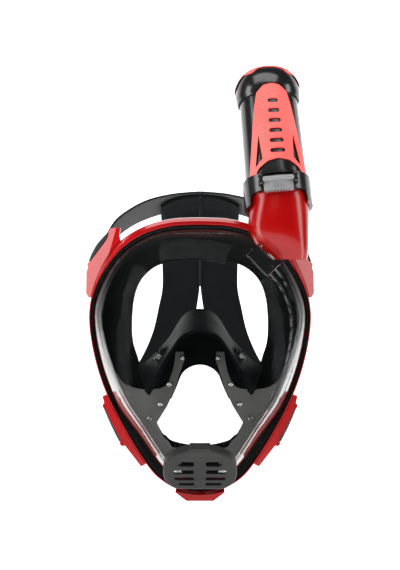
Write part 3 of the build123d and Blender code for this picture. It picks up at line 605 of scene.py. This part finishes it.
ribbed_webbing = webbing_material()


def web_loop(bar, side):
    """Webbing round a bar: the grid's rows follow the fold and its columns are the ribs."""
    low, high = (Vector(end) for end in bar)
    across = (high - low).normalized()
    back = (Vector((0, 1, 0)) - across * across.y).normalized()
    out = across.cross(back)
    width = (high - low).length - 5.4
    fold = [(17.0, 1.5), (9.0, 2.2), (4.0, 2.9)]
    fold += [(3.3 * cos(radians(a)), 3.3 * sin(radians(a))) for a in range(90, 271, 15)]
    fold += [(4.0, -2.9), (9.0, -2.2), (17.0, -1.5)]
    bm = bmesh.new()
    bmesh.ops.create_grid(bm, x_segments=RIBS * 4, y_segments=len(fold) - 1, size=0.5, calc_uvs=True)
    for v in bm.verts:
        lengthways, thick = fold[round((v.co.y + 0.5) * (len(fold) - 1))]
        rib = 1 + 0.14 * cos(tau * RIBS * v.co.x) * (1 if lengthways < 6 else 0.4)
        bulge = (2.0 if high.z > 0 else 0.5) * (1 - (2 * v.co.x) ** 2)
        point = (low + high) / 2 + across * v.co.x * width + back * lengthways + out * thick * rib
        point += out * bulge * (1 if out.x > 0 else -1)
        v.co = Vector((side * point.x, point.y, point.z)) * MM
    return facing(bm, (0, -1, 0))


for place, bar in (("upper", UPPER_BAR), ("lower", LOWER_BAR)):
    for side, word in ((-1, "left"), (1, "right")):
        web = add_strip(f"{place}_webbing_{word}", web_loop(bar, side), ribbed_webbing,
                        [f"{place}_web_{word}"], "webbing")
        thicken(web, 1.3)

# ---- Harness -------------------------------------------------------------------------------------
# Two long straps of knitted elastic fabric run from the crown down the back of the head, sewn
# together along a centre seam, and part to the cheek clips. Two arms join the crown to the temples.
ARM_RUN = [
    ((87.0, 4.6, 97.0), (-0.55, 0.0, 0.84), 33), ((86.5, 24.0, 102.0), (-0.5, -0.25, 0.83), 35),
    ((78.0, 55.0, 114.0), (-0.42, -0.55, 0.72), 37), ((56.0, 85.0, 131.0), (-0.3, -0.8, 0.52), 38),
    ((28.0, 104.0, 141.0), (-0.12, -0.92, 0.38), 38), ((0.0, 111.0, 144.5), (0.0, -0.94, 0.34), 38),
]
# The back strap as three lines over its width: at the centre seam, in its middle, at its outer edge.
STRAP_RAILS = [
    ((0.3, 93.5, 147.6), (18.5, 91.0, 145.6), (36.4, 89.5, 138.0)),
    ((0.3, 110, 141.2), (18.5, 107, 138.8), (36.6, 103, 132.2)),
    ((0.3, 125, 134.8), (18.5, 121.5, 132), (36.6, 116, 126)),
    ((0.3, 134, 123), (18.5, 132.5, 121.5), (36.6, 129.5, 117.5)),
    ((0.3, 136.4, 104), (18.5, 136.4, 104), (36.6, 135.4, 102)),
    ((0.3, 136.2, 84), (18.5, 136.2, 84), (36.5, 135.8, 83)),
    ((0.4, 134.2, 63), (18.4, 134.2, 62), (36.4, 134, 61)),
    ((4.2, 131.2, 37), (22, 131, 40), (39.8, 130.8, 43)),
    ((12.3, 121.4, 6.4), (29, 123.5, 12), (45.7, 124.6, 17.6)),
    ((27.5, 100, -25), (42, 104.5, -16), (56.5, 108, -7)),
    ((47.8, 64.6, -50.9), (59, 70.5, -38), (70.2, 75.4, -25.1)),
    ((64.2, 28.5, -65.2), (72, 32.4, -50), (79.8, 35.5, -34.8)),
    ((71.6, 2.6, -69.9), (77, 2.8, -55), (82.4, 2.6, -40.1)),
]


def knit_material(name, dark, light):
    """Fine knitted elastic: ribs along the strap, crossed by small stitches, with a soft nap."""
    material, start = blank_material(name)
    place = start.node("ShaderNodeTexCoord", pick=2)
    ribs = start.node("ShaderNodeTexWave",
                      {"Vector": place, "Scale": 260.0, "Distortion": 1.5, "Detail": 1.0})
    rows = start.node("ShaderNodeTexWave", {"Vector": place, "Scale": 210.0, "Distortion": 2.0},
                      bands_direction="Y")
    knit = ribs * rows
    fluff = start.node("ShaderNodeTexNoise", {"Vector": place, "Scale": 700.0, "Detail": 4.0})
    tone = knit * 0.6 + fluff * 0.5
    shader = principled(
        start, Base_Color=tone.step(0.2, 0.8).blend(dark, light), Roughness=0.86,
        Sheen_Weight=0.02, Sheen_Roughness=0.5, Specular_IOR_Level=0.15, Normal=knit.bump(0.5, 0.0003),
    )
    close_material(start, shader)
    return material


harness_knit = knit_material("harness_knit", (0.003, 0.0042, 0.0048), (0.0105, 0.0135, 0.015))
harness_lining = knit_material("harness_lining", (0.085, 0.086, 0.086), (0.13, 0.131, 0.131))
seam_tape = knit_material("seam_tape", (0.012, 0.014, 0.015), (0.03, 0.033, 0.035))


def strap_bm(rails, side, steps, across=12):
    """Ribbon between the lines that three-point sections give, with its UV map in metres."""
    lines = [curve_through([section[i] for section in rails], steps) for i in range(3)]
    widths = np.linalg.norm(lines[2] - lines[0], axis=1)
    travelled = np.concatenate([[0], np.cumsum(np.linalg.norm(np.diff(lines[1], axis=0), axis=1))])
    bm = bmesh.new()
    bmesh.ops.create_grid(bm, x_segments=across, y_segments=steps, size=0.5, calc_uvs=True)
    uv = bm.loops.layers.uv.active or bm.loops.layers.uv.new("UVMap")
    for face in bm.faces:
        for loop in face.loops:
            row = round((loop.vert.co.y + 0.5) * steps)
            loop[uv].uv = (loop.vert.co.x * widths[row] * MM, travelled[row] * MM)
    for v in bm.verts:
        row, t = round((v.co.y + 0.5) * steps), v.co.x + 0.5
        a, b, c = (line[row] for line in lines)
        x, y, z = (2 * t - 1) * (t - 1) * a + 4 * t * (1 - t) * b + t * (2 * t - 1) * c
        v.co = Vector((side * x, y, z)) * MM
    return bm


arm_rails = []
for point, way, width in ARM_RUN:
    reach = np.array(way) / np.linalg.norm(way) * width / 2
    arm_rails.append((point - reach, np.array(point), point + reach))
for side, word in ((-1, "left"), (1, "right")):
    arm = add_strip(f"crown_arm_{word}", facing(strap_bm(arm_rails, side, 64), (side * 0.4, 0.2, 1)),
                    harness_knit, [f"harness_arm_{word}"], "harness_fabric")
    arm.data.materials.append(harness_lining)
    thicken(arm, 1.8, 0.6).material_offset = 1
    strap = add_strip(f"back_strap_{word}", facing(strap_bm(STRAP_RAILS, side, 132), (0, 1, 0)),
                      harness_knit, [f"harness_leg_{word}"], "harness_fabric")
    thicken(strap, 2.2, 0.0)

SEAM_RAILS = [
    ((-1.1, y - 1.4, z), (0, y - 2.0, z), (1.1, y - 1.4, z)) for (_, y, z), _, _ in STRAP_RAILS[:7]
]
seam = add_strip("back_seam", facing(strap_bm(SEAM_RAILS, 1, 66, 4), (0, 1, 0)), seam_tape,
                 ["harness_back"], "harness_fabric")
thicken(seam, 0.8, 0.0)
